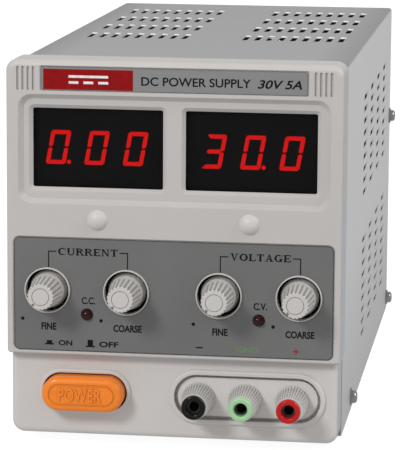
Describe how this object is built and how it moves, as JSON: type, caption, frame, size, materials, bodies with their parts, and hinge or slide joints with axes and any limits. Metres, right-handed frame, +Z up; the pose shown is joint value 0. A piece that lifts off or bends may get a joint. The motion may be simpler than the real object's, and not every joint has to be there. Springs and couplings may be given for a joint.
{
  "type": "bench power supply",
  "caption": "Bench DC power supply: metal case with vent slots, two digital meters, fluted turning knobs, push power button and binding posts.",
  "frame": {"origin": "on the resting surface, at the middle of the whole object's width and depth, knobs and rear fan screws included", "axes": "+X to the right seen from the front, +Y from the front panel to the rear panel, +Z up"},
  "size_m": [0.1402, 0.2996, 0.159],
  "materials": {
    "bezel_plastic": "fine moulded texture",
    "cover_paint": "fine satin enamel",
    "chassis_steel": "zinc-plated sheet",
    "overlay_film": "satin printed film",
    "strip_film": "brushed silver film",
    "window_filter": "dark tinted, polished",
    "lamp_red": "tinted lens",
    "knob_plastic": "smooth moulded",
    "button_orange": "polished",
    "post_black": "polished",
    "post_green": "polished",
    "post_red": "polished",
    "post_cap_plastic": "knurled",
    "plate_plastic": "moulded",
    "bright_nickel": "plated",
    "plated_brass": "nickel plated",
    "foot_rubber": "matt",
    "circuit_board": "solder mask",
    "black_moulding": "fine texture",
    "lamination_steel": "varnished edges",
    "coil_winding": "taped copper coil",
    "heatsink_aluminium": "extruded",
    "capacitor_sleeve": "shrink sleeve",
    "relay_shell": "moulded",
    "fuse_glass": "clear with plated ends",
    "wire_insulation": "pvc",
    "cable_sheath": "pvc",
    "ribbon_sheath": "flat pvc"
  },
  "bodies": {
    "case": {"base_chassis": "chassis_steel", "blind_plugs": "bezel_plastic", "bridge_rectifier": "black_moulding", "control_panel_overlay": "overlay_film", "cover_screws": "bright_nickel", "cover_washers": "bright_nickel", "display_modules": "black_moulding", "display_window_left": "window_filter", "display_window_right": "window_filter", "fan_frame": "black_moulding", "fan_guard": "bright_nickel", "fan_screws": "bright_nickel", "filter_capacitors": "capacitor_sleeve", "front_bezel": "bezel_plastic", "front_board": "circuit_board", "heatsink": "heatsink_aluminium", "iec_inlet": "black_moulding", "indicator_leds": "lamp_red", "inlet_pins": "bright_nickel", "main_board": "circuit_board", "mains_leads": "cable_sheath", "name_strip": "strip_film", "output_leads": "wire_insulation", "pass_transistors": "black_moulding", "post_nuts": "bright_nickel", "post_plate": "plate_plastic", "post_stud_ground": "plated_brass", "post_stud_negative": "plated_brass", "post_stud_positive": "plated_brass", "potentiometer_bodies": "chassis_steel", "potentiometer_nuts": "bright_nickel", "power_switch_body": "black_moulding", "rear_panel": "cover_paint", "relays": "relay_shell", "ribbon_cable": "ribbon_sheath", "rubber_feet": "foot_rubber", "top_cover": "cover_paint", "transformer_bracket": "chassis_steel", "transformer_core": "lamination_steel", "transformer_leads": "wire_insulation", "transformer_winding": "coil_winding"},
    "current_fine_control": {"knob_current_fine": "knob_plastic", "pot_shaft_current_fine": "bright_nickel"},
    "current_coarse_control": {"knob_current_coarse": "knob_plastic", "pot_shaft_current_coarse": "bright_nickel"},
    "voltage_fine_control": {"knob_voltage_fine": "knob_plastic", "pot_shaft_voltage_fine": "bright_nickel"},
    "voltage_coarse_control": {"knob_voltage_coarse": "knob_plastic", "pot_shaft_voltage_coarse": "bright_nickel"},
    "power_button": {"power_button": "button_orange", "switch_plunger": "black_moulding"},
    "negative_nose": {"post_ring_negative": "post_black"},
    "negative_cap": {"post_cap_negative": "post_cap_plastic"},
    "ground_nose": {"post_ring_ground": "post_green"},
    "ground_cap": {"post_cap_ground": "post_cap_plastic"},
    "positive_nose": {"post_ring_positive": "post_red"},
    "positive_cap": {"post_cap_positive": "post_cap_plastic"},
    "fan_rotor": {"fan_rotor": "black_moulding"},
    "fuse_drawer": {"fuse_drawer": "black_moulding", "fuse": "fuse_glass"}
  },
  "joints": [
    {"name": "turn_current_fine", "type": "hinge", "parent": "case", "child": "current_fine_control", "pos_m": [-0.051, -0.13485, 0.0657], "axis": [0, 1, 0], "range_deg": [0, 300]},
    {"name": "turn_current_coarse", "type": "hinge", "parent": "case", "child": "current_coarse_control", "pos_m": [-0.0188, -0.13485, 0.0657], "axis": [0, 1, 0], "range_deg": [0, 300]},
    {"name": "turn_voltage_fine", "type": "hinge", "parent": "case", "child": "voltage_fine_control", "pos_m": [0.0188, -0.13485, 0.0657], "axis": [0, 1, 0], "range_deg": [0, 300]},
    {"name": "turn_voltage_coarse", "type": "hinge", "parent": "case", "child": "voltage_coarse_control", "pos_m": [0.051, -0.13485, 0.0657], "axis": [0, 1, 0], "range_deg": [0, 300]},
    {"name": "press_power", "type": "slide", "parent": "case", "child": "power_button", "axis": [0, 1, 0], "range_m": [-0.004, 0]},
    {"name": "lift_negative", "type": "slide", "parent": "case", "child": "negative_nose", "axis": [0, -1, 0], "range_m": [0, 0.0032]},
    {"name": "unscrew_negative", "type": "hinge", "parent": "negative_nose", "child": "negative_cap", "pos_m": [0.0102, -0.13485, 0.0219], "axis": [0, -1, 0], "range_deg": [0, 1445]},
    {"name": "lift_ground", "type": "slide", "parent": "case", "child": "ground_nose", "axis": [0, -1, 0], "range_m": [0, 0.0032]},
    {"name": "unscrew_ground", "type": "hinge", "parent": "ground_nose", "child": "ground_cap", "pos_m": [0.02925, -0.13485, 0.0219], "axis": [0, -1, 0], "range_deg": [0, 1445]},
    {"name": "lift_positive", "type": "slide", "parent": "case", "child": "positive_nose", "axis": [0, -1, 0], "range_m": [0, 0.0032]},
    {"name": "unscrew_positive", "type": "hinge", "parent": "positive_nose", "child": "positive_cap", "pos_m": [0.0483, -0.13485, 0.0219], "axis": [0, -1, 0], "range_deg": [0, 1445]},
    {"name": "spin_fan", "type": "hinge", "parent": "case", "child": "fan_rotor", "pos_m": [0, 0.13315, 0.107], "axis": [0, 1, 0], "continuous": true},
    {"name": "pull_fuse_drawer", "type": "slide", "parent": "case", "child": "fuse_drawer", "axis": [0, 1, 0], "range_m": [0, 0.018]}
  ],
  "couplings": [
    {"joint": "unscrew_negative", "follows": "lift_negative", "rad_per_m": 7854},
    {"joint": "unscrew_ground", "follows": "lift_ground", "rad_per_m": 7854},
    {"joint": "unscrew_positive", "follows": "lift_positive", "rad_per_m": 7854}
  ]
}
